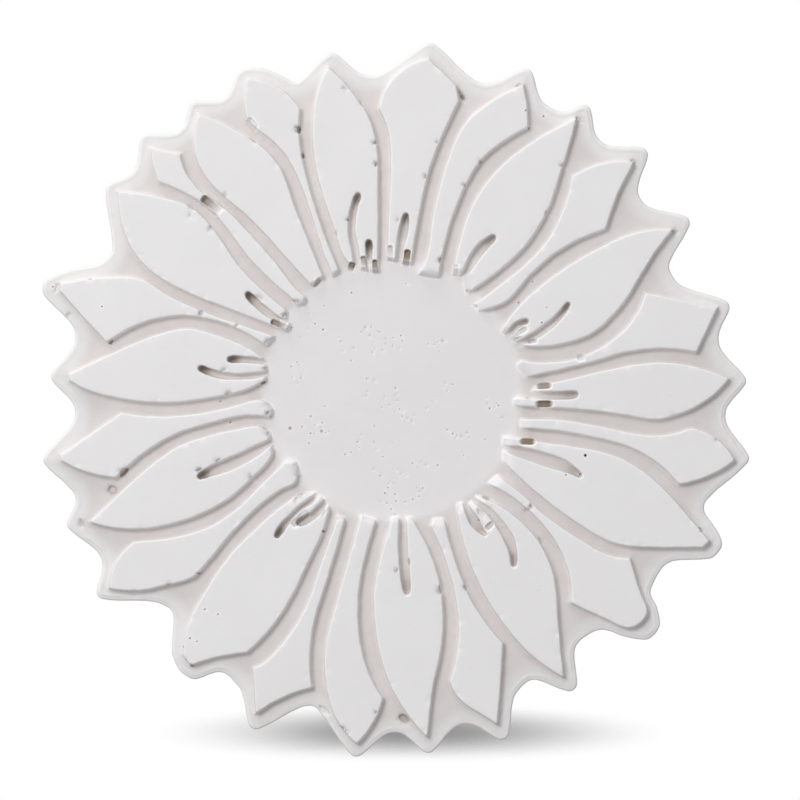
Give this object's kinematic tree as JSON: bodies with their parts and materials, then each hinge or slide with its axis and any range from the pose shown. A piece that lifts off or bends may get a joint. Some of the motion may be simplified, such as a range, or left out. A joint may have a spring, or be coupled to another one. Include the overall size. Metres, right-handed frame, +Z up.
{
  "type": "plaster flower relief",
  "caption": "Flat sunflower relief cast in plaster: long petals in low relief around a plain round middle, on a thin plate with a pointed outline and a flat back.",
  "frame": {"origin": "middle of the flat back, where the relief meets the wall", "axes": "+Z up, -Y the way the relief looks, +X to the right when it is looked at"},
  "size_m": [0.1999, 0.012, 0.202],
  "materials": {
    "plaster": "matt off-white plaster"
  },
  "bodies": {
    "root": {"plaster_sunflower": "plaster"}
  },
  "joints": []
}
